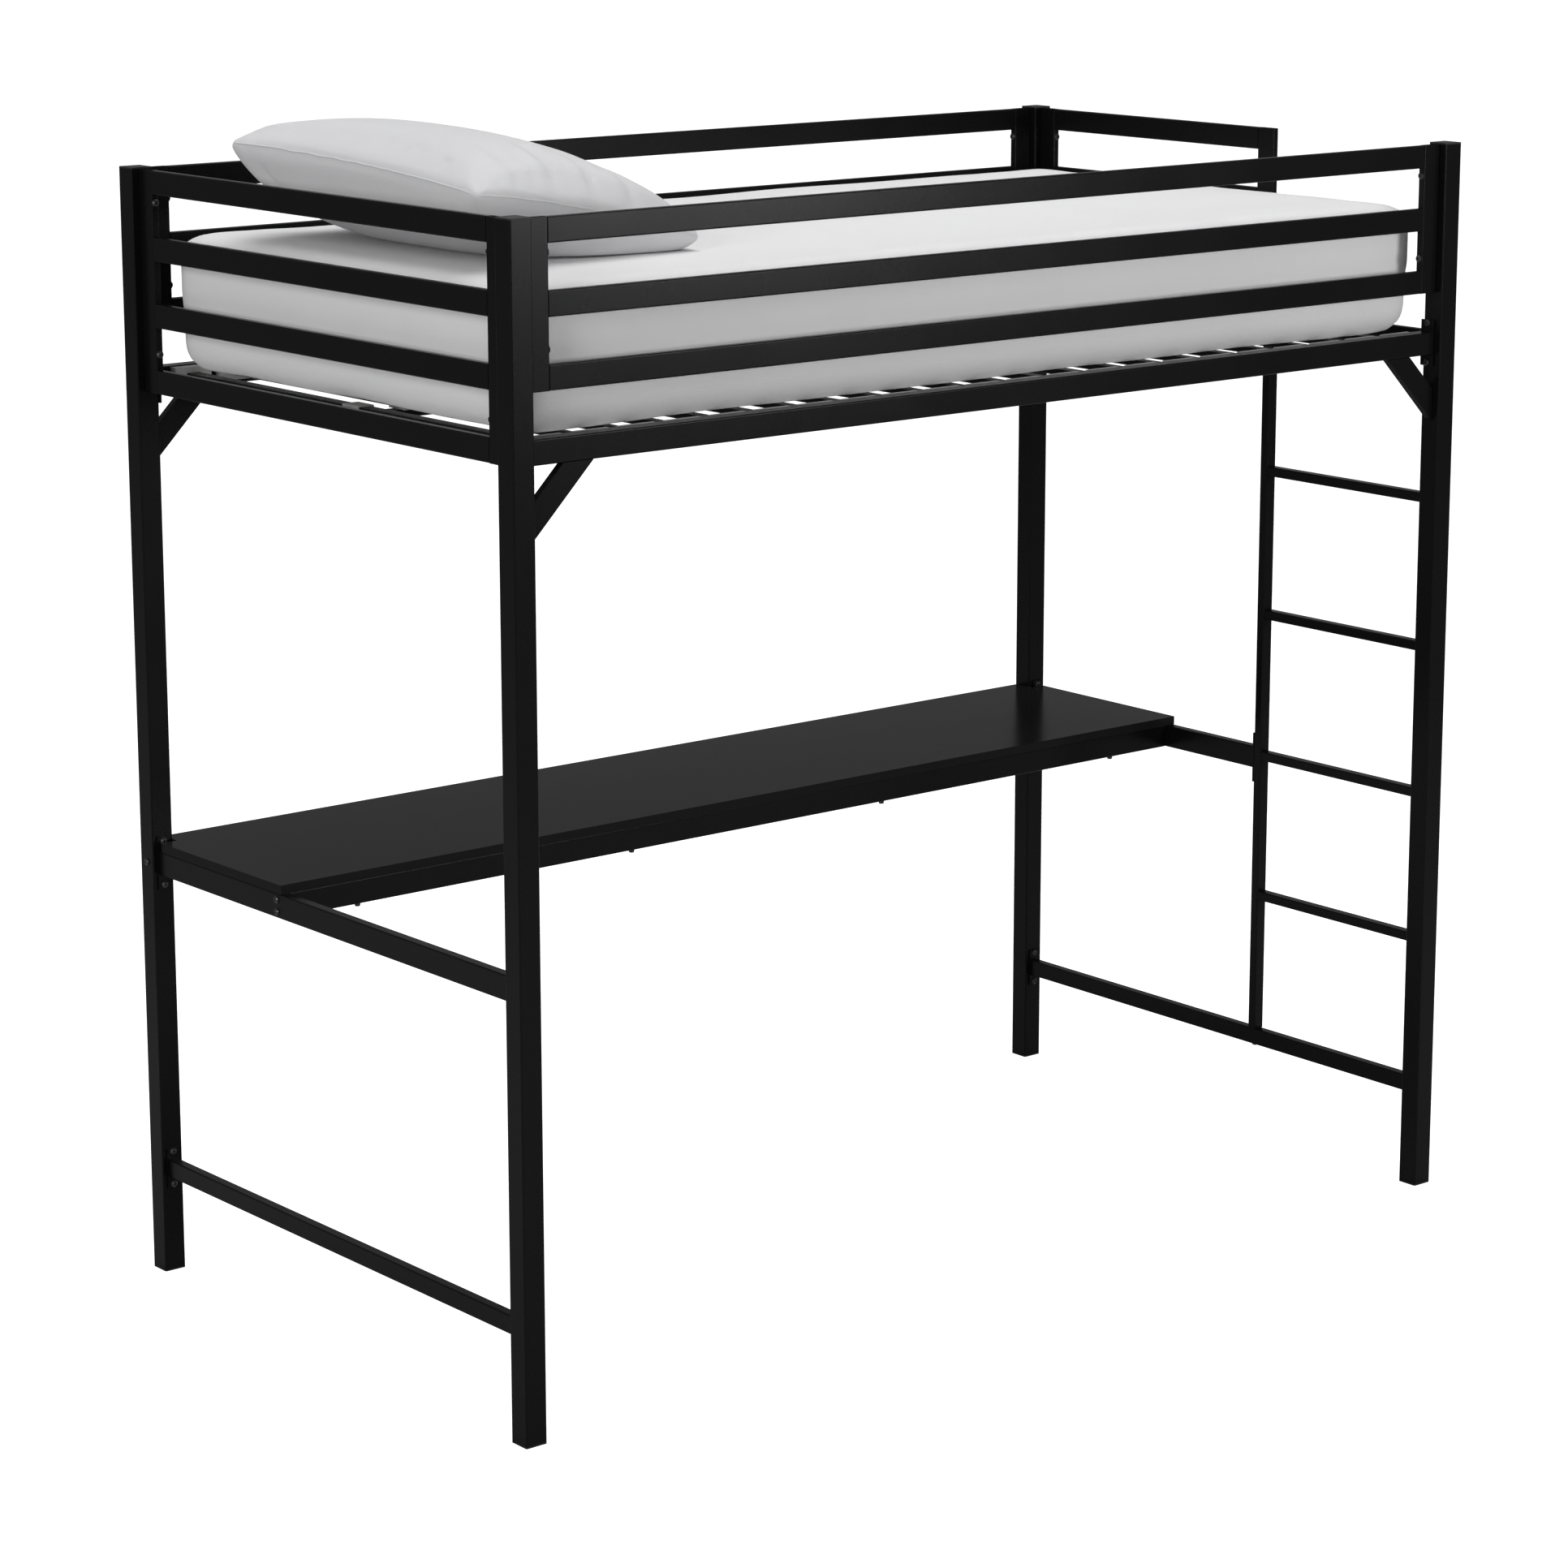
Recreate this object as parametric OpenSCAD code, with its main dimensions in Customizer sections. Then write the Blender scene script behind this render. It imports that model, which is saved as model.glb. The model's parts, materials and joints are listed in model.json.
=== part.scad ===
// Metal loft bed with a full length desk, a fixed ladder, a mattress and a pillow.
// X runs from the head end (-X) to the ladder end (+X), Y from the front (-Y) to the back
// (+Y), Z up. The origin is on the floor under the middle of the bed.

/* [Overall] */
// Length over the posts
bed_len = 1968.5; // [1600:0.5:2400]
// Width over the posts
bed_wid = 1054.1; // [850:0.1:1300]
// Height of the capped posts
bed_height = 1828.8; // [1500:0.1:2300]
// Rise of the posts over the deck
guard_rise = 318.8; // [260:0.1:450]

/* [Tubes] */
// Side of a post
post_side = 38.1; // [30:0.1:50]
// Wall of a post
post_wall = 1.5; // [1:0.1:3]
// Broad face of a guard tube
guard_face = 38.1; // [25:0.1:45]
// Thickness of a guard tube
guard_thick = 12.7; // [10:0.1:20]
// Wall of every tube but the posts
tube_wall = 1.2; // [1:0.1:2]
// Corner radius of the tubes
tube_round = 2.4; // [1:0.1:4]
// Flange of a cap or foot
cap_flange = 2.5; // [1.5:0.5:6]
// Gap over the deck under the lowest guard rail
guard_gap = 67.5; // [40:0.5:90]
// Length of the guard at the ladder end
foot_guard_len = 601; // [350:1:750]

/* [Deck] */
// Height of a long deck rail
side_rail_h = 38.1; // [25:0.1:60]
// Thickness of a long deck rail
side_rail_t = 28.6; // [20:0.1:34]
// Set back of a long deck rail from the post's outer face
side_rail_inset = 12.7; // [0:0.1:18]
// Width of a slat
slat_w = 25; // [18:1:50]
// Thickness of a slat
slat_t = 10; // [6:0.5:14]
// Spacing of the slats
slat_pitch = 85; // [70:0.5:120]
// Drop of the slats under the rail's top
slat_drop = 12; // [5:0.5:16]
// Width of the centre beam
beam_w = 25; // [15:1:40]
// Height of the centre beam
beam_h = 13; // [8:1:20]

/* [Desk] */
// Height of the desk top
desk_height = 733.4; // [600:0.1:900]
// Depth of the desk top
desk_depth = 397.5; // [250:0.5:500]
// Thickness of the desk top
desk_board = 15; // [12:0.5:25]
// Height of the rails under the desk top
desk_rail_h = 40; // [30:1:60]
// Thickness of the desk rails and low rails
cross_t = 18; // [15:1:30]
// Set back of the front rail behind the board's edge
apron_inset = 3.5; // [0:0.5:20]

/* [Ladder and low rails] */
// Height of a low rail's under face
low_rail_z = 163.2; // [100:0.1:300]
// Height of a low rail
low_rail_h = 30; // [20:1:50]
// Clear width of the ladder
ladder_clear = 370.15; // [280:0.05:440]
// Width of the ladder's upright
upright_w = 17; // [15:1:30]
// Depth of the ladder's upright
upright_d = 22; // [20:1:30]
// Height of a rung
rung_h = 17; // [14:1:25]
// Depth of a rung
rung_d = 19; // [16:1:20]
// Last step, from the top rung to the deck
top_step = 280; // [200:1:350]

/* [Fixings] */
// Thickness of flange plates and tabs
plate_t = 3; // [2:0.5:5]
// Diameter of a bolt
bolt_d = 6; // [5:0.5:8]
// Diameter of a bolt's head
head_d = 12; // [10:0.5:14]
// Height of a bolt's head
head_h = 3.5; // [2:0.5:5]
// Clearance round a bolt
bolt_gap = 0.3; // [0.1:0.05:0.6]
// Reach of a brace along its rail
brace_run = 114; // [80:1:250]

/* [Bedding] */
// Thickness of the mattress
mattress_t = 228; // [120:1:250]
// Gap from the mattress to the head and foot guards
mattress_end_gaps = [16.8, 6.8]; // [2:0.1:40]
// Gap from the mattress to the front and back guards
mattress_side_gaps = [19.6, 29.6]; // [2:0.1:40]
// Long side of the pillow
pillow_len = 665; // [450:1:750]
// Short side of the pillow
pillow_wid = 476; // [350:1:600]
// Thickness of the pillow
pillow_t = 170; // [90:1:200]
// Lean of the pillow
pillow_lean = 16.7; // [0:0.1:25]

/* [Hidden] */
$fn = 32;

black = [0.07, 0.07, 0.075];
plastic_black = [0.05, 0.05, 0.05];
desk_black = [0.11, 0.11, 0.115];
clear_grey = [0.75, 0.75, 0.75];
steel = [0.6, 0.6, 0.6];
white = [0.93, 0.93, 0.93];

fit = 0.2;
bore_d = bolt_d + 2 * bolt_gap;
post_x = (bed_len - post_side) / 2;
post_y = (bed_wid - post_side) / 2;
inner_x = bed_len / 2 - post_side;
inner_y = bed_wid / 2 - post_side;
tube_top = bed_height - cap_flange;
deck_top = bed_height - guard_rise;
plug_depth = 14;

// Guards: under faces of the three rails, and the deck's end rails in the same plane
guard_high = tube_top - guard_face;
guard_low = deck_top + guard_gap;
guard_zs = [guard_high, (guard_high + guard_low) / 2, guard_low];
guard_in_x = post_x - guard_thick / 2;
guard_in_y = post_y - guard_thick / 2;
end_rail_z = deck_top - guard_face;
free_y = inner_y - foot_guard_len;
bolt_drop = 51;

// Deck
side_rail_z = deck_top - side_rail_h;
side_rail_y = bed_wid / 2 - side_rail_inset - side_rail_t / 2;
rail_in_y = side_rail_y - side_rail_t / 2;
flange_edge = 20;
flange_bolt = 14.5;
slat_count = floor(2 * inner_x / slat_pitch);
slat_xs = [for (i = [0:slat_count - 1]) (i - (slat_count - 1) / 2) * slat_pitch];
slat_z = deck_top - slat_drop - slat_t;
slat_end = 3;
holder_w = slat_w + 41;
holder_reach = 17;
holder_z = slat_z - 8;
holder_top = deck_top - 2;
peg_d = 5;
peg_z = holder_z + 4;
clip_skin = 2;
clip_len = 43;
beam_z = slat_z - clip_skin - beam_h;
beam_flange_w = 22;

// Braces, at 45 degrees in the plane of the long guards
screw_inset = 14;
screw_head = [8, 2.7];
desk_screw_head = [11, 5.5];

// Desk
desk_rail_z = desk_height - desk_board - desk_rail_h;
desk_mid = desk_rail_z + desk_rail_h / 2;
desk_end = post_x + cross_t / 2;
desk_back = bed_wid / 2 - 6;
desk_front = desk_back - desk_depth;
apron_y = desk_front + apron_inset + cross_t / 2;
apron_end = post_x - cross_t / 2;
desk_bolt_off = desk_rail_h / 2 + 16.5;
flange_over = 25;
screw_edge = 151;
screw_mid = 274.5;
screw_xs = [screw_edge - desk_end, -screw_mid, screw_mid, desk_end - screw_edge];
screw_d = 4;
screw_in = 11;

// Low rails and ladder
low_mid = low_rail_z + low_rail_h / 2;
low_top = low_rail_z + low_rail_h;
low_bolt_off = low_rail_h / 2 + 13;
low_over = 19.5;
upright_y = -inner_y + ladder_clear + upright_w / 2;
upright_back = upright_y + upright_w / 2;
rung_count = 4;
rung_pitch = (deck_top - top_step - low_top) / rung_count;
rung_zs = [for (i = [1:rung_count]) low_top + i * rung_pitch - rung_h / 2];
peg_pin_d = 8;
peg_pin_len = 12;

// Bolt spots: [where the head seats, the way the shank goes, what it clamps]
ends = [-1, 1];
guard_spots = concat(
    [for (sx = ends, sy = ends, z = [tube_top - bolt_drop, guard_low + guard_face + 21])
        [[sx * (inner_x - guard_face), sy * post_y, z], [sx, 0, 0], guard_face]],
    [for (sx = ends, sy = ends, z = [tube_top - bolt_drop, deck_top + 25])
        if (sx < 0 || sy > 0)
            [[sx * post_x, sy * (inner_y - guard_face), z], [0, sy, 0], guard_face]],
    [for (s = ends)
        [[post_x, -inner_y + plate_t, end_rail_z + guard_face / 2 + s * (guard_face / 2 + 14)],
            [0, -1, 0], plate_t]]);
deck_spots = [for (sx = ends, sy = ends, s = ends)
    [[sx * (inner_x - plate_t), sy * side_rail_y,
        side_rail_z + side_rail_h / 2 + s * (side_rail_h / 2 + flange_bolt)],
        [sx, 0, 0], plate_t]];
end_rail_spots = [for (sx = ends, sy = ends, s = ends)
    if (sx < 0 || sy > 0)
        [[sx * post_x, sy * (inner_y - plate_t), desk_mid + s * desk_bolt_off],
            [0, sy, 0], plate_t]];
back_rail_spots = [for (sx = ends) [[sx * bed_len / 2, post_y, desk_mid], [-sx, 0, 0], post_side]];
apron_spots = [for (sx = ends, s = ends)
    [[sx * desk_end, apron_y, desk_mid + s * 10], [-sx, 0, 0], cross_t]];
low_spots = [for (sx = ends, sy = ends, s = ends)
    [[sx * post_x, sy * (inner_y - plate_t), low_mid + s * low_bolt_off], [0, sy, 0], plate_t]];
upright_foot_spot = [[post_x, upright_y, low_rail_z], [0, 0, 1], low_rail_h];
upright_plate_spots = [for (s = ends)
    [[post_x, upright_back + plate_t, desk_mid + s * desk_bolt_off], [0, -1, 0], plate_t]];
post_spots = concat(guard_spots, deck_spots, end_rail_spots, low_spots);
nut_spots = concat(post_spots, upright_plate_spots);
block_len = 14;

// Bedding
mattress_lo = [-guard_in_x + mattress_end_gaps[0], -guard_in_y + mattress_side_gaps[0]];
mattress_hi = [guard_in_x - mattress_end_gaps[1], guard_in_y - mattress_side_gaps[1]];
mattress_z = slat_z + slat_t + clip_skin + fit;
mattress_low_round = 60;
mattress_top_round = 40;
pillow_from_head = 284;
pillow_side = 7;
pillow_turn = 3;
pillow_edge = 14;
pillow_sit = 0.5;
pillow_mid = mattress_z + mattress_t + pillow_t * 0.53;

// Outline of a tube: an oblong with round corners, centred
module oblong(w, h) {
    square([w - 2 * tube_round, h], center = true);
    square([w, h - 2 * tube_round], center = true);
    for (sx = ends, sy = ends)
        translate([sx * (w / 2 - tube_round), sy * (h / 2 - tube_round)])
            circle(tube_round);
}

// Tube standing on the origin, w along X and h along Y
module tube(w, h, len, wall = tube_wall) {
    linear_extrude(len)
        difference() {
            oblong(w, h);
            square([w - 2 * wall, h - 2 * wall], center = true);
        }
}

// Level tubes with their middle at the origin: w is their level thickness, h their height
module tube_along_x(len, w, h) {
    translate([-len / 2, 0, 0])
        rotate([90, 0, 90])
            tube(w, h, len);
}

module tube_along_y(len, w, h) {
    translate([0, len / 2, 0])
        rotate([90, 0, 0])
            tube(w, h, len);
}

// Turns +Z to the way d
module face(d) {
    rotate(d[0] != 0 ? [0, 90 * d[0], 0] : d[1] != 0 ? [-90 * d[1], 0, 0] : d[2] < 0 ? [180, 0, 0] : [0, 0, 0])
        children();
}

// Button head bolts with hex sockets, their bores, and rivet nuts inside the posts
nut_len = 8;

module bolts(spots) {
    color(steel)
    for (s = spots)
        translate(s[0])
            face(s[1])
                difference() {
                    union() {
                        cylinder(d = bolt_d, h = s[2] + nut_len + post_wall);
                        translate([0, 0, -head_h * 0.4])
                            cylinder(d = head_d, h = head_h * 0.4);
                        translate([0, 0, -head_h])
                            cylinder(d1 = head_d * 0.6, d2 = head_d, h = head_h * 0.6);
                    }
                    translate([0, 0, -head_h - 1])
                        cylinder(d = 4, h = head_h, $fn = 6);
                }
}

module bores(spots) {
    for (s = spots)
        translate(s[0])
            face(s[1])
                translate([0, 0, -1])
                    cylinder(d = bore_d, h = s[2] + nut_len + post_wall + 2);
}

module rivet_nuts() {
    color(steel)
    for (s = nut_spots)
        translate(s[0])
            face(s[1])
                translate([0, 0, s[2] + post_wall])
                    difference() {
                        cylinder(d = bolt_d + 3, h = nut_len - 1);
                        translate([0, 0, -1])
                            cylinder(d = bolt_d + 0.1, h = nut_len + 2);
                    }
}

// Post at the corner (sx, sy)
module post(sx, sy) {
    color(black)
    difference() {
        translate([sx * post_x, sy * post_y, cap_flange])
            tube(post_side, post_side, tube_top - cap_flange, post_wall);
        bores([for (s = post_spots) if (s[0][0] * sx > 0 && s[0][1] * sy > 0) s]);
        if (sy > 0)
            bores([for (s = back_rail_spots) if (s[0][0] * sx > 0) s]);
        translate([sx * (inner_x - 1), sy * post_y, brace_post_spots[0][0][2]])
            face([sx, 0, 0])
                cylinder(d = screw_d + 2 * fit, h = post_wall + 2);
        if (sx > 0 && sy < 0)
            for (z = rung_zs)
                translate([post_x, -inner_y + 1, z])
                    face([0, -1, 0])
                        cylinder(d = peg_pin_d + 2 * fit, h = post_wall + 2);
    }
}

// Plastic cap: its flange lies on the tube's end and its plug goes down inside
module end_plug() {
    linear_extrude(cap_flange)
        oblong(post_side, post_side);
    translate([0, 0, -plug_depth])
        linear_extrude(plug_depth)
            difference() {
                square(post_side - 2 * post_wall - 2 * fit, center = true);
                square(post_side - 2 * post_wall - 5, center = true);
            }
}

module post_caps() {
    color(plastic_black)
    for (sx = ends, sy = ends)
        translate([sx * post_x, sy * post_y, tube_top])
            end_plug();
}

module post_feet() {
    color(plastic_black)
    for (sx = ends, sy = ends)
        translate([sx * post_x, sy * post_y, cap_flange])
            mirror([0, 0, 1])
                end_plug();
}

// Three guard rails along X or Y, and the stile at one end
module long_rails(sy) {
    color(black)
    for (z = guard_zs)
        translate([0, sy * post_y, z + guard_face / 2])
            tube_along_x(2 * (inner_x - guard_face), guard_thick, guard_face);
}

module long_stile(sx, sy) {
    color(black)
    difference() {
        translate([sx * (inner_x - guard_face / 2), sy * post_y, guard_low])
            tube(guard_face, guard_thick, tube_top - guard_low);
        bores([for (s = guard_spots) if (s[1][0] == sx && s[0][1] * sy > 0) s]);
    }
}

module end_rails(sx, y0, y1) {
    color(black)
    for (z = guard_zs)
        translate([sx * post_x, (y0 + y1) / 2, z + guard_face / 2])
            tube_along_y(y1 - y0, guard_thick, guard_face);
}

module end_stile(sx, y, z0) {
    color(black)
    difference() {
        translate([sx * post_x, y, z0])
            tube(guard_thick, guard_face, tube_top - z0);
        bores([for (s = guard_spots) if (s[1][0] == 0 && s[0][0] * sx > 0 && s[0][1] * y > 0) s]);
    }
}

module long_deck_rail(sy) {
    color(black)
    difference() {
        union() {
            translate([0, sy * side_rail_y, side_rail_z + side_rail_h / 2])
                tube_along_x(2 * (inner_x - plate_t), side_rail_t, side_rail_h);
            for (sx = ends)
                translate([sx * (inner_x - plate_t / 2), sy * side_rail_y, side_rail_z + side_rail_h / 2])
                    cube([plate_t, side_rail_t, side_rail_h + 2 * flange_edge], center = true);
        }
        bores([for (s = deck_spots) if (s[0][1] * sy > 0) s]);
        for (x = slat_xs)
            translate([x, sy * (rail_in_y - 1), peg_z])
                face([0, sy, 0])
                    cylinder(d = peg_d + 2 * fit, h = tube_wall + 2);
        for (s = brace_rail_spots)
            translate([s[0][0], sy * post_y, side_rail_z - 1])
                cylinder(d = screw_d + 2 * fit, h = tube_wall + 2);
    }
}

module deck_rail_head() {
    color(black)
    difference() {
        translate([-post_x, 0, end_rail_z + guard_face / 2])
            tube_along_y(2 * (inner_y - guard_face), guard_thick, guard_face);
        bores([beam_spots[0]]);
    }
}

// The ladder end rail runs from the back stile to a flange plate on the front post
module deck_rail_foot() {
    y0 = -inner_y + plate_t;
    y1 = inner_y - guard_face;
    color(black)
    difference() {
        union() {
            translate([post_x, (y0 + y1) / 2, end_rail_z + guard_face / 2])
                tube_along_y(y1 - y0, guard_thick, guard_face);
            translate([post_x, -inner_y + plate_t / 2, end_rail_z + guard_face / 2])
                cube([guard_thick, plate_t, guard_face + 2 * flange_edge], center = true);
        }
        bores([for (s = guard_spots) if (s[1][1] < 0 && s[0][0] > 0) s]);
        bores([beam_spots[1]]);
        translate([post_x, upright_y, end_rail_z - 1])
            cylinder(d = peg_pin_d + 2 * fit, h = tube_wall + 2);
    }
}

beam_flange_top = deck_top - 4;
beam_spots = [for (sx = ends)
    [[sx * (guard_in_x - plate_t), 0, (slat_z - clip_skin + beam_flange_top) / 2], [sx, 0, 0], plate_t]];

module centre_beam() {
    color(black)
    difference() {
        union() {
            translate([0, 0, beam_z + beam_h / 2])
                tube_along_x(2 * (guard_in_x - plate_t), beam_w, beam_h);
            for (sx = ends)
                translate([sx * (guard_in_x - plate_t / 2), 0, (beam_z + beam_flange_top) / 2])
                    cube([plate_t, beam_flange_w, beam_flange_top - beam_z], center = true);
        }
        bores(beam_spots);
    }
}

module slats() {
    color(black)
    for (x = slat_xs)
        translate([x, 0, slat_z + slat_t / 2])
            tube_along_y(2 * (rail_in_y - slat_end - fit), slat_w, slat_t);
}

// Plastic holder on the rail's inner face: a peg in the rail and a pocket for the slat
module slat_holders(sy) {
    color(clear_grey)
    for (x = slat_xs)
        translate([x, sy * (rail_in_y - holder_reach / 2), 0])
            difference() {
                union() {
                    translate([0, 0, (holder_z + holder_top) / 2])
                        cube([holder_w, holder_reach, holder_top - holder_z], center = true);
                    translate([0, sy * (holder_reach / 2 - 1), peg_z])
                        face([0, sy, 0])
                            cylinder(d = peg_d, h = 6);
                }
                translate([0, -sy * slat_end, slat_z + slat_t / 2])
                    cube([slat_w + 2 * fit, holder_reach, slat_t + 2 * fit], center = true);
            }
}

module slat_clips() {
    color(clear_grey)
    for (x = slat_xs)
        translate([x, 0, slat_z + slat_t / 2])
            difference() {
                cube([slat_w + 2 * clip_skin, clip_len, slat_t + 2 * clip_skin], center = true);
                cube([slat_w + 2 * fit, clip_len + 2, slat_t + 2 * fit], center = true);
            }
}

// Braces: a slanting tube whose two cut ends are closed by plates, with screws through
// the plates from inside the tube
brace_wide = guard_face * sqrt(2);
brace_screw_ds = [brace_run - brace_wide + screw_inset, brace_run - 1.5 * screw_inset];

// Slanting bar of a by b, cut off at the post and under the rail with `closed` left over
module brace_bar(a, b, closed) {
    reach = 2 * brace_run;
    intersection() {
        translate([(brace_run - brace_wide / 2) / 2, 0, (brace_wide / 2 - brace_run) / 2])
            rotate([0, 45, 0])
                cube([a, b, reach], center = true);
        translate([closed, -b, -reach - closed])
            cube([reach, 2 * b, reach]);
    }
}

module brace(sx, sy) {
    hole_d = screw_d + 2 * fit;
    color(black)
    translate([sx * inner_x, sy * post_y, side_rail_z])
        mirror([sx > 0 ? 1 : 0, 0, 0])
            difference() {
                brace_bar(guard_face, guard_thick, 0);
                brace_bar(guard_face - 2 * tube_wall, guard_thick - 2 * tube_wall, plate_t);
                translate([-1, 0, brace_wide / 2 - brace_run])
                    face([1, 0, 0])
                        cylinder(d = hole_d, h = plate_t + 2);
                for (d = brace_screw_ds)
                    translate([d, 0, -plate_t - 1])
                        cylinder(d = hole_d, h = plate_t + 2);
            }
}

// Pan head screws: spots say where each head seats and which way it goes
module screws(spots, head = screw_head) {
    color(steel)
    for (p = spots)
        translate(p[0])
            face(p[1]) {
                cylinder(d = screw_d, h = p[2]);
                translate([0, 0, -head[1]])
                    cylinder(d1 = 0.75 * head[0], d2 = head[0], h = head[1]);
            }
}

brace_post_spots = [for (sx = ends, sy = ends)
    [[sx * (inner_x - plate_t), sy * post_y, side_rail_z - brace_run + brace_wide / 2],
        [sx, 0, 0], plate_t + post_wall + 6]];
brace_rail_spots = [for (sx = ends, sy = ends, d = brace_screw_ds)
    [[sx * (inner_x - d), sy * post_y, side_rail_z - plate_t],
        [0, 0, 1], plate_t + 8]];

module brace_screws() {
    screws(concat(brace_post_spots, brace_rail_spots));
}

// Desk
desk_screw_spots = [for (x = screw_xs, y = [apron_y, post_y])
    [[x, y, desk_rail_z], [0, 0, 1], desk_rail_h + screw_in]];

module screw_bores() {
    for (p = desk_screw_spots)
        translate(p[0] - [0, 0, 1])
            cylinder(d = screw_d + 2 * fit, h = desk_rail_h + screw_in + 2);
}

module desk_top() {
    notch_x = inner_x - 2;
    notch_y = inner_y - plate_t - head_h - 4;
    color(desk_black)
    difference() {
        translate([-desk_end, desk_front, desk_height - desk_board])
            cube([2 * desk_end, desk_depth, desk_board]);
        for (sx = ends)
            translate([sx > 0 ? notch_x : -notch_x - post_side, notch_y, desk_rail_z])
                cube([post_side, desk_depth, 2 * desk_rail_h]);
        screw_bores();
    }
}

module desk_front_rail() {
    color(black)
    difference() {
        translate([0, apron_y, desk_mid])
            tube_along_x(2 * apron_end, cross_t, desk_rail_h);
        screw_bores();
    }
}

module desk_back_rail() {
    color(black)
    difference() {
        translate([0, post_y, desk_mid])
            tube_along_x(2 * inner_x, cross_t, desk_rail_h);
        screw_bores();
    }
}

// Cross rail between y0 and y1 at one end, with a flange plate at each end that meets a post
module cross_rail(sx, y0, y1, mid, h, over, plates) {
    z = mid;
    translate([sx * post_x, (y0 + y1) / 2, z])
        tube_along_y(y1 - y0, cross_t, h);
    for (y = plates)
        translate([sx * post_x, y, z])
            cube([upright_d, plate_t, h + 2 * over], center = true);
}

plate_y = inner_y - plate_t / 2;
cross_half = inner_y - plate_t;

module desk_head_rail() {
    color(black)
    difference() {
        cross_rail(-1, -cross_half, cross_half, desk_mid, desk_rail_h, flange_over, [-plate_y, plate_y]);
        bores([for (s = concat(end_rail_spots, apron_spots)) if (s[0][0] < 0) s]);
    }
}

module desk_foot_rail() {
    color(black)
    difference() {
        cross_rail(1, upright_back + plate_t, cross_half, desk_mid, desk_rail_h, flange_over,
            [upright_back + plate_t / 2, plate_y]);
        bores([for (s = concat(end_rail_spots, apron_spots)) if (s[0][0] > 0) s]);
        bores(upright_plate_spots);
    }
}

module low_rail(sx) {
    color(black)
    difference() {
        cross_rail(sx, -cross_half, cross_half, low_mid, low_rail_h, low_over, [-plate_y, plate_y]);
        bores([for (s = low_spots) if (s[0][0] * sx > 0) s]);
        if (sx > 0)
            bores([upright_foot_spot]);
    }
}

module ladder_upright() {
    color(black)
    difference() {
        translate([post_x, upright_y, low_top])
            tube(upright_d, upright_w, end_rail_z - low_top);
        bores(upright_plate_spots);
    }
}

module rung(i) {
    y0 = -inner_y;
    y1 = upright_y - upright_w / 2;
    color(black)
    translate([post_x, (y0 + y1) / 2, rung_zs[i - 1]])
        tube_along_y(y1 - y0, rung_d, rung_h);
}

// Peg block inside the post end of each rung, its pin through the post's wall
module rung_pegs() {
    color(steel)
    for (z = rung_zs)
        translate([post_x, -inner_y, z]) {
            translate([0, 10, 0])
                cube([rung_d - 2 * tube_wall - 2 * fit, 20, rung_h - 2 * tube_wall - 2 * fit], center = true);
            face([0, -1, 0])
                cylinder(d = peg_pin_d, h = peg_pin_len);
        }
}

// Block in a tube's end for a bolt or a peg: w and h are the tube's own outer sizes
module end_block(w, h) {
    translate([0, 0, block_len / 2])
        cube([w - 2 * tube_wall - 2 * fit, h - 2 * tube_wall - 2 * fit, block_len], center = true);
}

module threaded_blocks() {
    color(steel)
    difference() {
        union() {
            for (sx = ends) {
                translate([sx * apron_end, apron_y, desk_mid])
                    face([-sx, 0, 0])
                        end_block(desk_rail_h, cross_t);
                translate([sx * inner_x, post_y, desk_mid])
                    face([-sx, 0, 0])
                        end_block(desk_rail_h, cross_t);
            }
            translate([post_x, upright_y, low_top])
                end_block(upright_d, upright_w);
            translate([post_x, upright_y, end_rail_z])
                mirror([0, 0, 1])
                    end_block(upright_d, upright_w);
            translate([post_x, upright_y, end_rail_z - 1])
                cylinder(d = peg_pin_d, h = peg_pin_len);
        }
        bores(concat(apron_spots, back_rail_spots, [upright_foot_spot]));
    }
}

module mattress() {
    color(white)
    hull()
        for (x = [mattress_lo[0], mattress_hi[0]], y = [mattress_lo[1], mattress_hi[1]]) {
            sx = x > 0 ? -1 : 1;
            sy = y > 0 ? -1 : 1;
            translate([x + sx * mattress_low_round, y + sy * mattress_low_round, mattress_z + mattress_low_round])
                sphere(mattress_low_round);
            translate([x + sx * mattress_top_round, y + sy * mattress_top_round,
                mattress_z + mattress_t - mattress_top_round])
                sphere(mattress_top_round);
        }
}

// Pillow leaning up at the head end, its underside flat where it lies on the mattress
module pillow() {
    size = [pillow_wid, pillow_len, pillow_t];
    color(white)
    intersection() {
        translate([-bed_len / 2 + pillow_from_head + pillow_edge, pillow_side, pillow_mid])
            rotate([0, 0, pillow_turn])
                rotate([0, pillow_lean, 0])
                    hull() {
                        scale([size[0] * 0.96, size[1] * 0.9, size[2]])
                            sphere(0.5, $fn = 48);
                        for (sx = ends, sy = ends)
                            translate([sx * (size[0] / 2 - pillow_edge), sy * (size[1] / 2 - pillow_edge), 0])
                                sphere(pillow_edge);
                    }
        translate([-bed_len, -bed_wid, mattress_z + mattress_t + pillow_sit])
            cube([bed_len, 2 * bed_wid, bed_height]);
    }
}

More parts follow.
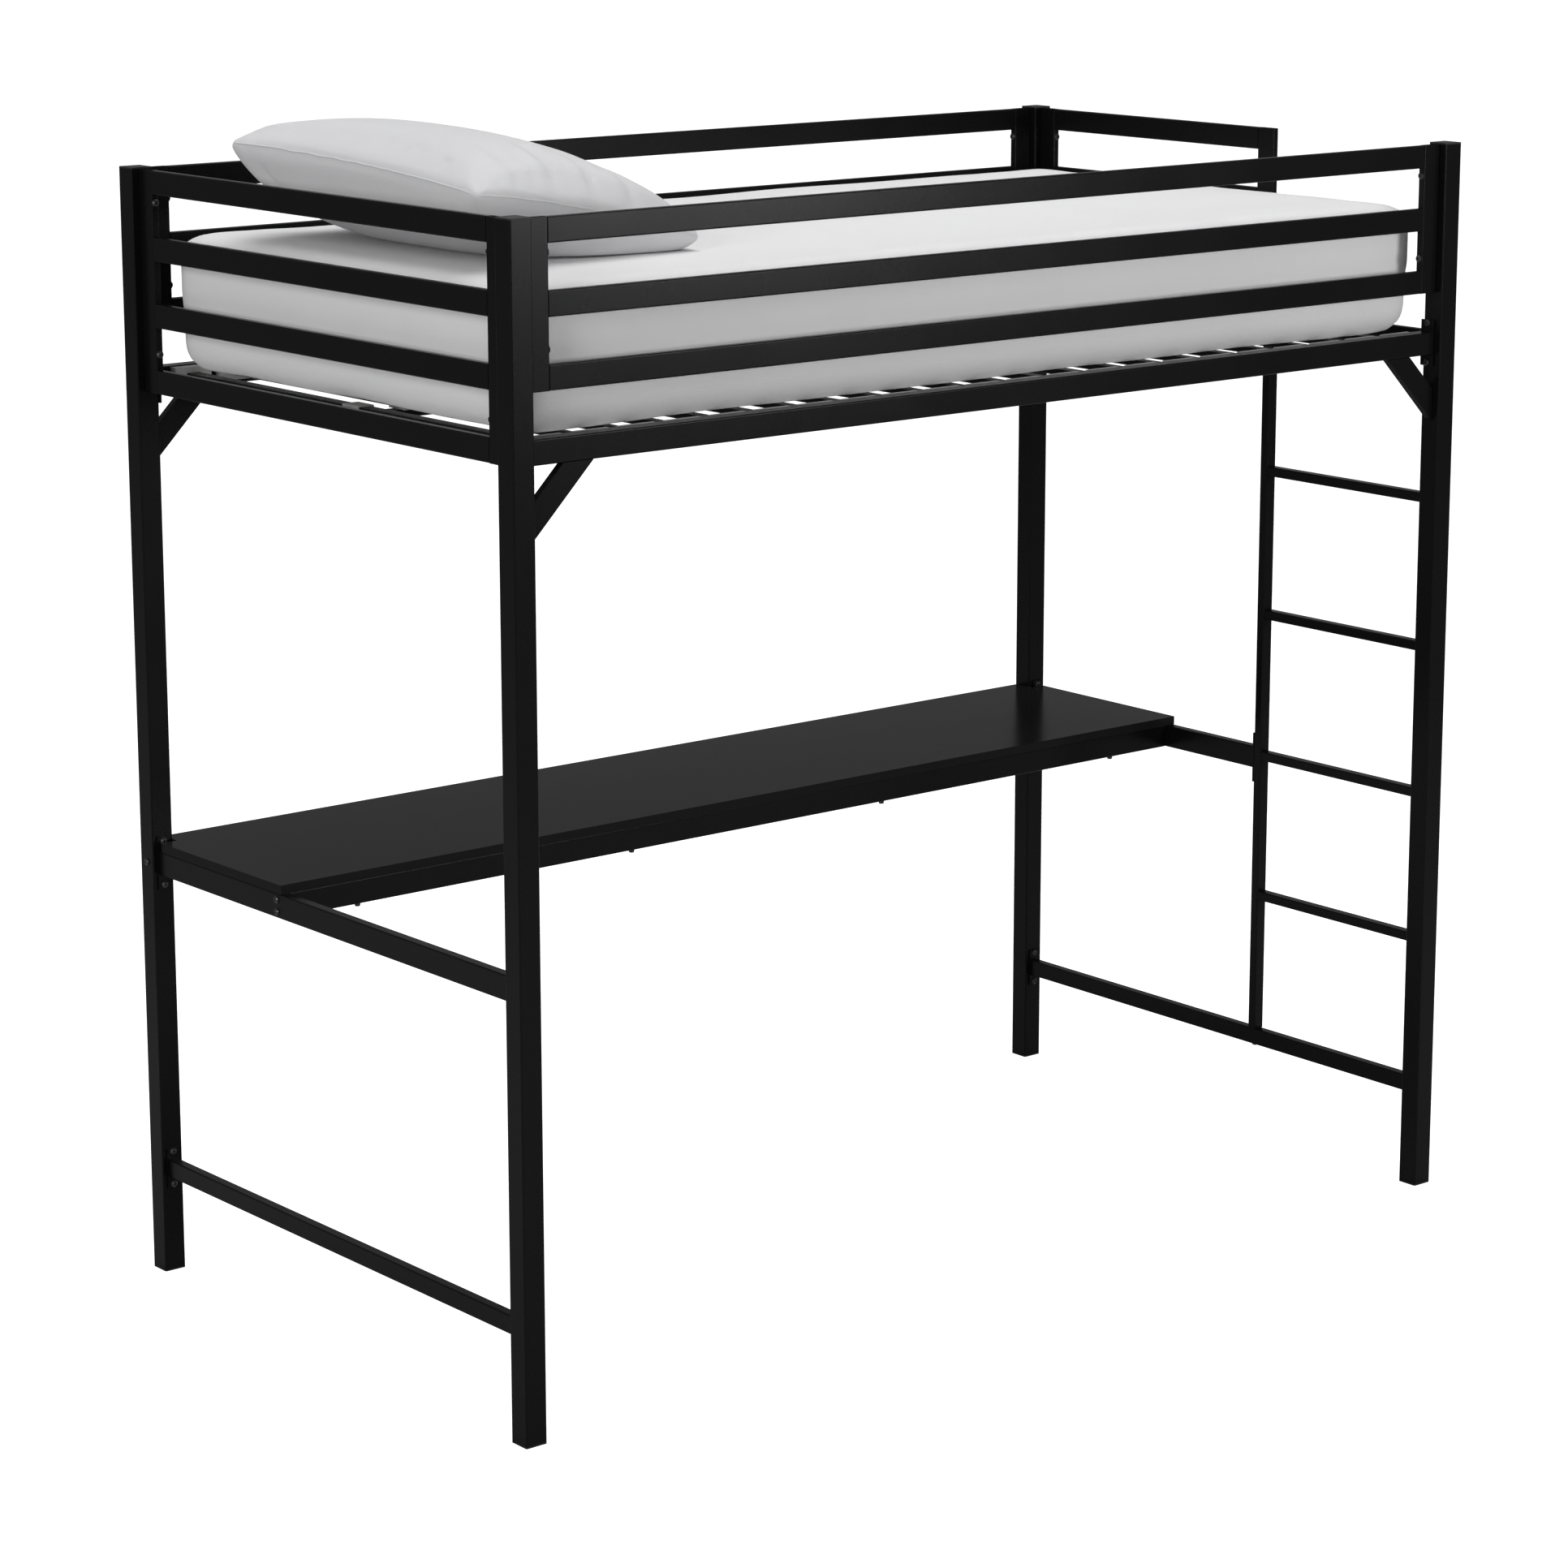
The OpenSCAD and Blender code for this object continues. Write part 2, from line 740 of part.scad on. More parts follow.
module post_front_left() { post(-1, -1); }
module post_back_left() { post(-1, 1); }
module post_front_right() { post(1, -1); }
module post_back_right() { post(1, 1); }
module front_guard_rails() { long_rails(-1); }
module front_stile_left() { long_stile(-1, -1); }
module front_stile_right() { long_stile(1, -1); }
module back_guard_rails() { long_rails(1); }
module back_stile_left() { long_stile(-1, 1); }
module back_stile_right() { long_stile(1, 1); }
module head_guard_rails() { end_rails(-1, -inner_y + guard_face, inner_y - guard_face); }
module head_stile_front() { end_stile(-1, -inner_y + guard_face / 2, end_rail_z); }
module head_stile_back() { end_stile(-1, inner_y - guard_face / 2, end_rail_z); }
module foot_guard_rails() { end_rails(1, free_y + guard_face, inner_y - guard_face); }
module foot_stile_free() { end_stile(1, free_y + guard_face / 2, deck_top); }
module foot_stile_back() { end_stile(1, inner_y - guard_face / 2, end_rail_z); }
module deck_rail_front() { long_deck_rail(-1); }
module deck_rail_back() { long_deck_rail(1); }
module slat_holders_front() { slat_holders(-1); }
module slat_holders_back() { slat_holders(1); }
module brace_front_left() { brace(-1, -1); }
module brace_front_right() { brace(1, -1); }
module brace_back_left() { brace(-1, 1); }
module brace_back_right() { brace(1, 1); }
module low_rail_head() { low_rail(-1); }
module low_rail_foot() { low_rail(1); }
module rung_1() { rung(1); }
module rung_2() { rung(2); }
module rung_3() { rung(3); }
module rung_4() { rung(4); }
module guard_bolts() { bolts(guard_spots); }
module deck_bolts() { bolts(concat(deck_spots, beam_spots)); }
module desk_bolts() { bolts(concat(end_rail_spots, back_rail_spots, apron_spots)); }
module low_rail_bolts() { bolts(low_spots); }
module ladder_bolts() { bolts(concat([upright_foot_spot], upright_plate_spots)); }
module desk_screws() { screws(desk_screw_spots, desk_screw_head); }

post_front_left();
post_back_left();
post_front_right();
post_back_right();
post_caps();
post_feet();
front_guard_rails();
front_stile_left();
front_stile_right();
back_guard_rails();
back_stile_left();
back_stile_right();
head_guard_rails();
head_stile_front();
head_stile_back();
foot_guard_rails();
foot_stile_free();
foot_stile_back();
deck_rail_front();
deck_rail_back();
deck_rail_head();
deck_rail_foot();
centre_beam();
slats();
slat_holders_front();
slat_holders_back();
slat_clips();
brace_front_left();
brace_front_right();
brace_back_left();
brace_back_right();
desk_top();
desk_front_rail();
desk_back_rail();
desk_head_rail();
desk_foot_rail();
low_rail_head();
low_rail_foot();
ladder_upright();
rung_1();
rung_2();
rung_3();
rung_4();
rung_pegs();
threaded_blocks();
rivet_nuts();
guard_bolts();
deck_bolts();
desk_bolts();
low_rail_bolts();
ladder_bolts();
brace_screws();
desk_screws();
mattress();
pillow();
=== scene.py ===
import json
import math

import bpy
import numpy as np
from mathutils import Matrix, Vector


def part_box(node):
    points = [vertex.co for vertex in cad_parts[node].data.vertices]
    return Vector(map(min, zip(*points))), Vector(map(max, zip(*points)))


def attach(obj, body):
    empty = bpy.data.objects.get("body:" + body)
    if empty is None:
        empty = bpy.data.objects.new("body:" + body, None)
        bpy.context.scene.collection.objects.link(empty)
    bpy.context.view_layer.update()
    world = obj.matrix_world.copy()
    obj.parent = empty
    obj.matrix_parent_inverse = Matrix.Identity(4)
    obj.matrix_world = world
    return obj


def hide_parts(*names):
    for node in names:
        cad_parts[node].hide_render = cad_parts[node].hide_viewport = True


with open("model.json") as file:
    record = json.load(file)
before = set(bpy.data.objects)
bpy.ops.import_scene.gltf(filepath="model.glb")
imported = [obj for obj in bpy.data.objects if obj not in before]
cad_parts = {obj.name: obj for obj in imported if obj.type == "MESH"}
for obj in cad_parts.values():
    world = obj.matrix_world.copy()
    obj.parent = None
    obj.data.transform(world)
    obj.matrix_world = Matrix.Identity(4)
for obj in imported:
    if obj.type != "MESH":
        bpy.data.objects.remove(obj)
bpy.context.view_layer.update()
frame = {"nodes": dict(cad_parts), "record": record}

scene = bpy.context.scene

# Posts, guard rails, deck rails, braces, desk rails and ladder.
# Square and flat steel tube, welded into panels, shot with satin black powder coat and
# baked, so the surface has a faint orange peel and the corners catch the light.
metal_colour = (0.0036, 0.0036, 0.0036, 1)
metal_worn_colour = (0.010, 0.010, 0.010, 1)
metal_roughness = 0.27
cloud_scale = 7.0
speck_scale = 260.0
rub_sharpness = 3.0


def group_sockets(group, ins, outs):
    """Adds named float or colour inputs with their defaults, and named outputs, to a node group."""
    for name, kind, value in ins:
        socket = group.interface.new_socket(name, in_out="INPUT", socket_type=kind)
        socket.default_value = value
    for name, kind in outs:
        group.interface.new_socket(name, in_out="OUTPUT", socket_type=kind)
    return group.nodes.new("NodeGroupInput"), group.nodes.new("NodeGroupOutput")


def math_node(nodes, links, operation, a, b):
    """A Math node on two inputs, each a socket or a number, and its output."""
    node = nodes.new("ShaderNodeMath")
    node.operation = operation
    for slot, value in zip(node.inputs, (a, b)):
        if isinstance(value, bpy.types.NodeSocket):
            links.new(value, slot)
        else:
            slot.default_value = value
    return node.outputs[0]


def noise_node(nodes, links, place, scale, detail):
    """Noise on the given coordinates, and its value from 0 to 1."""
    node = nodes.new("ShaderNodeTexNoise")
    node.inputs["Scale"].default_value = scale
    node.inputs["Detail"].default_value = detail
    links.new(place, node.inputs["Vector"])
    return node.outputs["Fac"]


def mix_colours(nodes, links, factor, low, high):
    """Colour that runs from low to high as factor goes from 0 to 1."""
    node = nodes.new("ShaderNodeMix")
    node.data_type = "RGBA"
    links.new(factor, node.inputs[0])
    for slot, value in ((6, low), (7, high)):
        if isinstance(value, bpy.types.NodeSocket):
            links.new(value, node.inputs[slot])
        else:
            node.inputs[slot].default_value = value
    return node.outputs[2]


def make_coat_group():
    """Baked coat: a cloudy colour, a roughness that drifts, and an orange peel height."""
    group = bpy.data.node_groups.new("baked_coat", "ShaderNodeTree")
    inner, outer = group_sockets(
        group,
        [("Colour", "NodeSocketColor", metal_colour),
         ("Rubbed", "NodeSocketColor", metal_worn_colour),
         ("Roughness", "NodeSocketFloat", metal_roughness),
         ("Drift", "NodeSocketFloat", 0.10),
         ("Peel Scale", "NodeSocketFloat", 900.0)],
        [("Colour", "NodeSocketColor"), ("Roughness", "NodeSocketFloat"),
         ("Height", "NodeSocketFloat")])
    nodes, links = group.nodes, group.links
    place = nodes.new("ShaderNodeTexCoord").outputs["Object"]
    cloud = noise_node(nodes, links, place, cloud_scale, 4.0)
    speck = noise_node(nodes, links, place, speck_scale, 2.0)
    peel = nodes.new("ShaderNodeTexNoise")
    peel.inputs["Detail"].default_value = 1.0
    links.new(place, peel.inputs["Vector"])
    links.new(inner.outputs["Peel Scale"], peel.inputs["Scale"])
    rub = math_node(nodes, links, "MULTIPLY", cloud, speck)
    rub = math_node(nodes, links, "POWER", rub, rub_sharpness)
    links.new(mix_colours(nodes, links, rub, inner.outputs["Colour"], inner.outputs["Rubbed"]),
              outer.inputs["Colour"])
    sway = math_node(nodes, links, "SUBTRACT", cloud, 0.5)
    sway = math_node(nodes, links, "MULTIPLY", sway, inner.outputs["Drift"])
    links.new(math_node(nodes, links, "ADD", sway, inner.outputs["Roughness"]),
              outer.inputs["Roughness"])
    links.new(peel.outputs["Fac"], outer.inputs["Height"])
    return group


coat_group = make_coat_group()


def grouped_material(name, group, values, bump_distance, sockets):
    """Material whose colour, roughness and bump height come from a group with these values."""
    material = bpy.data.materials.new(name)
    material.use_nodes = True
    nodes, links = material.node_tree.nodes, material.node_tree.links
    shader = nodes["Principled BSDF"]
    source = nodes.new("ShaderNodeGroup")
    source.node_tree = group
    for key, value in values.items():
        source.inputs[key].default_value = value
    links.new(source.outputs["Colour"], shader.inputs["Base Color"])
    links.new(source.outputs["Roughness"], shader.inputs["Roughness"])
    bump = nodes.new("ShaderNodeBump")
    bump.inputs["Distance"].default_value = bump_distance
    links.new(source.outputs["Height"], bump.inputs["Height"])
    links.new(bump.outputs["Normal"], shader.inputs["Normal"])
    for key, value in sockets.items():
        shader.inputs[key].default_value = value
    return material


def finish_nodes(material, names):
    """Puts a material on CAD nodes, in place of their plain one."""
    for name in names:
        node = frame["nodes"][name]
        node.data.materials.clear()
        node.data.materials.append(material)


slot_of = {s["node"]: s["material_slot"] for s in frame["record"]["subparts"]}


def nodes_in(slot):
    """Every CAD node that the record gives this material slot."""
    return [name for name, its_slot in slot_of.items() if its_slot == slot]


powder_coat = grouped_material(
    "satin_black_powder_coat", coat_group, {}, 0.00005,
    {"Specular IOR Level": 0.10})
finish_nodes(powder_coat, nodes_in("black_frame"))

# Post caps and foot plugs.
# Black polyethylene, injection moulded with a fine matt spark texture and pushed into the
# ends of the posts by hand.
plug_plastic = grouped_material(
    "moulded_black_plastic", coat_group,
    {"Colour": (0.012, 0.012, 0.012, 1), "Rubbed": (0.03, 0.03, 0.03, 1),
     "Roughness": 0.55, "Drift": 0.06, "Peel Scale": 2200.0},
    0.00006, {"Specular IOR Level": 0.3})
finish_nodes(plug_plastic, nodes_in("black_plastic"))

# Bolts and screws.
# Button head machine screws with hex sockets, black oxide over steel, run into rivet nuts
# with a hex key, which polishes the rim of the socket a little.
bolt_finish = grouped_material(
    "black_oxide_bolts", coat_group,
    {"Colour": (0.02, 0.02, 0.021, 1), "Rubbed": (0.10, 0.10, 0.10, 1),
     "Roughness": 0.24, "Drift": 0.2, "Peel Scale": 1500.0},
    0.00003, {"Specular IOR Level": 0.4})
finish_nodes(bolt_finish, nodes_in("dark_bolts"))

# Rivet nuts, threaded blocks and rung pegs.
# Turned and pressed steel with a zinc plate, out of sight inside the tubes.
zinc_plate = grouped_material(
    "zinc_plate", coat_group,
    {"Colour": (0.45, 0.45, 0.43, 1), "Rubbed": (0.6, 0.6, 0.58, 1),
     "Roughness": 0.35, "Drift": 0.2, "Peel Scale": 700.0},
    0.00004, {"Metallic": 1.0})
finish_nodes(zinc_plate, nodes_in("plated_steel"))

# Slat holders and slat clips.
# Natural polypropylene, moulded and pushed over the slats, so it is milky and a little
# see-through with soft flow marks.
milky_plastic = grouped_material(
    "milky_polypropylene", coat_group,
    {"Colour": (0.34, 0.34, 0.335, 1), "Rubbed": (0.55, 0.55, 0.54, 1),
     "Roughness": 0.38, "Drift": 0.15, "Peel Scale": 300.0},
    0.00008, {"Specular IOR Level": 0.4, "Subsurface Weight": 0.15, "Subsurface Scale": 0.004})
finish_nodes(milky_plastic, nodes_in("clear_plastic"))

# Ribs on the slat clips.
# The clip's skin is moulded with raised bands across the slat that stop it from sliding.
rib_count = 5
rib_proud = 0.0010
rib_width = 0.0035
rib_steps = 6
rib_turns = 28
rib_sunk = 0.0006
clip_squareness = 0.25
slat_gap_least = 0.02


def ribbed_band(centre, half_x, half_z, y):
    """A band round one clip: a closed rounded oblong swept round the clip's section, with a
    half-round rise across its width. Returns its points and faces."""
    turn = np.linspace(0, 2 * math.pi, rib_turns, endpoint=False)
    across = np.linspace(0, math.pi, rib_steps)
    ring_x = np.sign(np.cos(turn)) * np.abs(np.cos(turn)) ** clip_squareness
    ring_z = np.sign(np.sin(turn)) * np.abs(np.sin(turn)) ** clip_squareness
    rise = rib_proud * np.sin(across) - rib_sunk
    x = centre[0] + ring_x[:, None] * (half_x + rise)
    z = centre[2] + ring_z[:, None] * (half_z + rise)
    side = y - np.cos(across) * rib_width / 2
    points = np.stack([x, np.broadcast_to(side, x.shape), z], -1).reshape(-1, 3)
    i = np.arange(len(turn))[:, None]
    j = np.arange(rib_steps)[None, :]
    after_i = (i + 1) % len(turn)
    after_j = (j + 1) % rib_steps
    quads = np.stack([i * rib_steps + j, after_i * rib_steps + j,
                      after_i * rib_steps + after_j, i * rib_steps + after_j], -1)
    return points, quads.reshape(-1, 4)


def mesh_piece(name, points, faces, material, smooth=True):
    """A mesh object at the origin, from arrays of points and of four-cornered faces."""
    mesh = bpy.data.meshes.new(name)
    mesh.from_pydata(np.asarray(points, float).tolist(), [], np.asarray(faces).tolist())
    mesh.polygons.foreach_set("use_smooth", np.full(len(mesh.polygons), smooth))
    mesh.materials.append(material)
    mesh.update()
    piece = bpy.data.objects.new(name, mesh)
    scene.collection.objects.link(piece)
    return piece


clip_low, clip_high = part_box("slat_clips")
slat_mesh = np.array([v.co for v in frame["nodes"]["slats"].data.vertices])
slat_middles = np.unique(np.round(slat_mesh[:, 0], 4))
slat_gaps = np.where(np.diff(slat_middles) > slat_gap_least)[0]
slat_starts = np.concatenate([[0], slat_gaps + 1])
slat_ends = np.concatenate([slat_gaps, [len(slat_middles) - 1]])
slat_low_x, slat_high_x = slat_middles[slat_starts], slat_middles[slat_ends]
slat_x = (slat_low_x + slat_high_x) / 2
clip_half_z = (clip_high.z - clip_low.z) / 2
clip_half_x = (clip_high.x - clip_low.x) / 2 - float(np.max(slat_x))
band_points, band_faces, offset = [], [], 0
for middle in slat_x:
    for y in np.linspace(clip_low.y + rib_width, clip_high.y - rib_width, rib_count):
        points, quads = ribbed_band((middle, 0, (clip_low.z + clip_high.z) / 2),
                                    clip_half_x, clip_half_z, y)
        band_points.append(points)
        band_faces.append(quads + offset)
        offset += len(points)
clip_ribs = mesh_piece("slat_clip_ribs", np.concatenate(band_points),
                       np.concatenate(band_faces), milky_plastic)
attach(clip_ribs, "frame")

# Desk top.
# Particle board with black melamine pressed on both faces under a nearly smooth plate,
# which leaves faint pores, and a thin edge band glued round it.
board_colour = (0.0105, 0.0105, 0.0105, 1)
pore_stretch = 0.03
pore_scale = 900.0
band_scale = 60.0
grain_gain = 3.0
board_sway = 0.04


def make_board_group():
    """Laminate: long faint pores along the board, in colour, roughness and height."""
    group = bpy.data.node_groups.new("pressed_laminate", "ShaderNodeTree")
    inner, outer = group_sockets(
        group,
        [("Colour", "NodeSocketColor", board_colour),
         ("Pore", "NodeSocketColor", (0.0095, 0.0095, 0.0095, 1)),
         ("Roughness", "NodeSocketFloat", 0.20)],
        [("Colour", "NodeSocketColor"), ("Roughness", "NodeSocketFloat"),
         ("Height", "NodeSocketFloat")])
    nodes, links = group.nodes, group.links
    along = nodes.new("ShaderNodeMapping")
    along.inputs["Scale"].default_value = (pore_stretch, 1.0, 1.0)
    links.new(nodes.new("ShaderNodeTexCoord").outputs["Object"], along.inputs["Vector"])
    pores = noise_node(nodes, links, along.outputs["Vector"], pore_scale, 3.0)
    bands = noise_node(nodes, links, along.outputs["Vector"], band_scale, 3.0)
    grain = math_node(nodes, links, "MULTIPLY", pores, bands)
    grain = math_node(nodes, links, "MULTIPLY", grain, grain_gain)
    links.new(mix_colours(nodes, links, grain, inner.outputs["Pore"], inner.outputs["Colour"]),
              outer.inputs["Colour"])
    sway = math_node(nodes, links, "MULTIPLY", bands, board_sway)
    links.new(math_node(nodes, links, "ADD", sway, inner.outputs["Roughness"]),
              outer.inputs["Roughness"])
    links.new(grain, outer.inputs["Height"])
    return group


laminate = grouped_material("black_laminate", make_board_group(), {}, 0.000006,
                            {"Specular IOR Level": 0.03})
finish_nodes(laminate, ["desk_top"])

# Mattress.
# A foam core in a white knitted cover, zipped round the bottom, laid loose on the slats.
cloth_white = (0.80, 0.80, 0.805, 1)
mattress_voxel = 0.014
mattress_shrink = 0.006
mattress_swell = 0.006
mattress_low_round = 0.045
mattress_top_round = 0.034
mattress_steps = 60
mattress_inset = 0.0001
cloth_pressure = 4.0
patch_share = 0.6
fuzz_share = 0.03
edge_crowding = 1.35


def make_cloth_group():
    """Cloth: two crossed sets of fine threads as height, with soft patches of colour."""
    group = bpy.data.node_groups.new("white_cloth", "ShaderNodeTree")
    inner, outer = group_sockets(
        group,
        [("Colour", "NodeSocketColor", cloth_white),
         ("Shade", "NodeSocketColor", (0.72, 0.72, 0.73, 1)),
         ("Roughness", "NodeSocketFloat", 0.85),
         ("Thread Scale", "NodeSocketFloat", 420.0)],
        [("Colour", "NodeSocketColor"), ("Roughness", "NodeSocketFloat"),
         ("Height", "NodeSocketFloat")])
    nodes, links = group.nodes, group.links
    place = nodes.new("ShaderNodeTexCoord").outputs["Object"]
    threads = []
    for direction in ("X", "Y", "Z"):
        wave = nodes.new("ShaderNodeTexWave")
        wave.bands_direction = direction
        wave.inputs["Distortion"].default_value = 0.6
        wave.inputs["Detail"].default_value = 1.0
        links.new(inner.outputs["Thread Scale"], wave.inputs["Scale"])
        links.new(place, wave.inputs["Vector"])
        threads.append(wave.outputs["Fac"])
    weave = math_node(nodes, links, "ADD", threads[0], threads[1])
    weave = math_node(nodes, links, "ADD", weave, threads[2])
    patch = noise_node(nodes, links, place, 5.0, 5.0)
    patch = math_node(nodes, links, "MULTIPLY", patch, patch_share)
    links.new(mix_colours(nodes, links, patch, inner.outputs["Colour"], inner.outputs["Shade"]),
              outer.inputs["Colour"])
    fuzz = math_node(nodes, links, "MULTIPLY", weave, fuzz_share)
    links.new(math_node(nodes, links, "ADD", fuzz, inner.outputs["Roughness"]),
              outer.inputs["Roughness"])
    links.new(weave, outer.inputs["Height"])
    return group


cloth_group = make_cloth_group()
knit_cover = grouped_material(
    "white_knit_cover", cloth_group, {}, 0.00012,
    {"Specular IOR Level": 0.2, "Sheen Weight": 0.15, "Sheen Roughness": 0.5})


def box_grid(steps):
    """Points and faces of a cube from -1 to 1, each side a steps by steps grid, joined at
    its edges by merging doubles."""
    line = np.linspace(-1, 1, steps + 1)
    a, b = np.meshgrid(line, line, indexing="ij")
    sides = []
    for axis in range(3):
        for sign in (-1, 1):
            p = np.empty(a.shape + (3,))
            p[..., axis] = sign
            p[..., (axis + 1) % 3] = a if sign > 0 else b
            p[..., (axis + 2) % 3] = b if sign > 0 else a
            sides.append(p.reshape(-1, 3))
    i, j = np.meshgrid(np.arange(steps), np.arange(steps), indexing="ij")
    n = steps + 1
    quad = np.stack([i * n + j, (i + 1) * n + j, (i + 1) * n + j + 1, i * n + j + 1], -1)
    quad = quad.reshape(-1, 4)
    count = n * n
    points = np.concatenate(sides)
    faces = np.concatenate([quad + k * count for k in range(6)])
    keys, inverse = np.unique(np.round(points, 6), axis=0, return_inverse=True)
    return keys, inverse.reshape(-1)[faces]


def rounded_block(low, high, steps, low_round, top_round):
    """A block whose edges are rounded: each point of the cube is pulled to the core box that
    is one radius smaller, then pushed out by that radius along its own direction."""
    cube, faces = box_grid(steps)
    low, high = np.array(low), np.array(high)
    half = (high - low) / 2
    radius = np.where(cube[:, 2] < 0, low_round, top_round)[:, None]
    spread = np.sign(cube) * (1 - (1 - np.abs(cube)) ** edge_crowding)
    place = spread * half
    core = np.clip(place, -(half - radius), half - radius)
    away = place - core
    length = np.linalg.norm(away, axis=1, keepdims=True)
    away = np.where(length > 1e-9, away / np.maximum(length, 1e-9), 0)
    return (low + high) / 2 + core + away * radius, faces


def remeshed(piece, voxel):
    """Replaces a piece's mesh with an even voxel mesh of the same form."""
    modifier = piece.modifiers.new("even", "REMESH")
    modifier.mode = "VOXEL"
    modifier.voxel_size = voxel
    modifier.use_smooth_shade = True
    bake_modifiers(piece)


def bake_modifiers(piece):
    """Applies every modifier of a piece to its mesh."""
    depsgraph = bpy.context.evaluated_depsgraph_get()
    mesh = bpy.data.meshes.new_from_object(piece.evaluated_get(depsgraph))
    old = piece.data
    piece.modifiers.clear()
    piece.data = mesh
    bpy.data.meshes.remove(old)


def coordinates(piece):
    """A piece's points as an array."""
    co = np.empty(len(piece.data.vertices) * 3, np.float32)
    piece.data.vertices.foreach_get("co", co)
    return co.reshape(-1, 3).astype(float)


def set_coordinates(piece, co):
    """Writes an array of points back to a piece."""
    piece.data.vertices.foreach_set("co", co.astype(np.float32).ravel())
    piece.data.update()


def puffed(piece, pressure, most, frames=20):
    """Inflates a piece as cloth with no gravity, moves no point by more than most, and
    leaves the result in its mesh."""
    before = coordinates(piece)
    cloth = piece.modifiers.new("puff", "CLOTH")
    cloth.settings.use_pressure = True
    cloth.settings.uniform_pressure_force = pressure
    cloth.settings.effector_weights.gravity = 0.0
    cloth.settings.quality = 5
    cloth.settings.mass = 0.3
    cloth.settings.tension_stiffness = 15
    cloth.settings.bending_stiffness = 0.5
    for step in range(1, frames + 1):
        scene.frame_set(step)
    bake_modifiers(piece)
    scene.frame_set(1)
    moved = coordinates(piece) - before
    length = np.linalg.norm(moved, axis=1, keepdims=True)
    moved *= np.minimum(1, most / np.maximum(length, 1e-9))
    set_coordinates(piece, before + moved)


def subdivided(piece, levels=1):
    """One smoothing subdivision, applied."""
    modifier = piece.modifiers.new("smooth", "SUBSURF")
    modifier.levels = levels
    modifier.render_levels = levels
    bake_modifiers(piece)
    piece.data.polygons.foreach_set("use_smooth", np.ones(len(piece.data.polygons), bool))


mat_low, mat_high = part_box("mattress")
start_low = Vector(mat_low) + Vector((mattress_shrink,) * 3)
start_high = Vector(mat_high) - Vector((mattress_shrink,) * 3)
block_points, block_faces = rounded_block(start_low, start_high, mattress_steps, mattress_low_round,
                                          mattress_top_round)
mattress = mesh_piece("mattress_cover", block_points, block_faces, knit_cover)
remeshed(mattress, mattress_voxel)
puffed(mattress, cloth_pressure, mattress_swell)
subdivided(mattress)


dent_seed = 5
dent_waves = 7
dent_height = 0.0011


def soft_dents(co, seed, waves, height):
    """Sum of a few slow sine waves in random directions, as height over each point."""
    rng = np.random.default_rng(seed)
    total = np.zeros(len(co))
    for _ in range(waves):
        direction = rng.normal(size=3)
        direction /= np.linalg.norm(direction)
        total += np.sin(co @ direction * rng.uniform(9, 26) + rng.uniform(0, 6.28))
    return height * total / math.sqrt(waves)


def held_in(co, low, high, gap):
    """Keeps points inside a box, a gap short of its faces."""
    return np.clip(co, np.array(low) + gap, np.array(high) - gap)


mat_co = coordinates(mattress)
mat_normals = np.empty(len(mattress.data.vertices) * 3, np.float32)
mattress.data.vertices.foreach_get("normal", mat_normals)
mat_normals = mat_normals.reshape(-1, 3)
mat_co += mat_normals * soft_dents(mat_co, dent_seed, dent_waves, dent_height)[:, None]
set_coordinates(mattress, held_in(mat_co, mat_low, mat_high, mattress_inset))
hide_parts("mattress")
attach(mattress, "mattress")

# Pillow.
# A cotton case round loose fibre fill: two panels sewn round the edge, so it is crowned in
# the middle, thin at the seam and gathered at the corners. It leans up at the head end.
pillow_size = (0.476, 0.665)
pillow_thick = 0.163
pillow_lean = math.radians(16.7)
pillow_turn = math.radians(3)
pillow_voxel = 0.0064
pillow_swell = 0.010
pillow_steps = 90
pillow_edge = 0.004
belly_share = 1.12
corner_droop = 0.040
top_falls = (2.2, 2.6, 0.62)
belly_falls = (2.8, 3.4, 0.52)
draw_x_share = 0.055
draw_y_share = 0.040
corner_share = 0.045
pillow_rise = 0.53
pillow_clear = 0.0005
rest_softness = 0.004
case_cotton = grouped_material(
    "white_cotton_case", cloth_group,
    {"Colour": (0.66, 0.66, 0.67, 1), "Shade": (0.61, 0.61, 0.625, 1), "Thread Scale": 620.0},
    0.00010, {"Specular IOR Level": 0.2, "Sheen Weight": 0.2, "Sheen Roughness": 0.45})


def pillow_outline(u, v):
    """Plan of the pillow: a rectangle whose sides draw in between its corners, widest at
    the corners, which are rounded off a little."""
    draw_x = 1 - draw_x_share * (1 - v ** 2)
    draw_y = 1 - draw_y_share * (1 - u ** 2)
    corner = 1 - corner_share * (u ** 2 * v ** 2) ** 3
    return pillow_size[0] / 2 * u * draw_x * corner, pillow_size[1] / 2 * v * draw_y * corner


def pillow_height(u, v, fall_u, fall_v, soft):
    """Half thickness: high in the middle, falling to the seam, and low at the corners.
    Higher falls and a lower soft make it fuller near the seam."""
    side = (1 - np.abs(u) ** fall_u) ** soft * (1 - np.abs(v) ** fall_v) ** soft
    return pillow_edge + (pillow_thick / 2 - pillow_edge) * side


def drooped(u, v):
    """How far the middle plane hangs: most at the front corner of the head end."""
    return corner_droop * ((1 - u) / 2) ** 2 * ((1 - v) / 2) ** 2


corner_folds = ((-1, -1, 0.0026), (1, -1, 0.0026), (-1, 1, 0.0022), (1, 1, 0.0022))
folds_a_corner = 5
fold_reach = 0.15
fold_start = 0.03
flank_depth = 0.0030


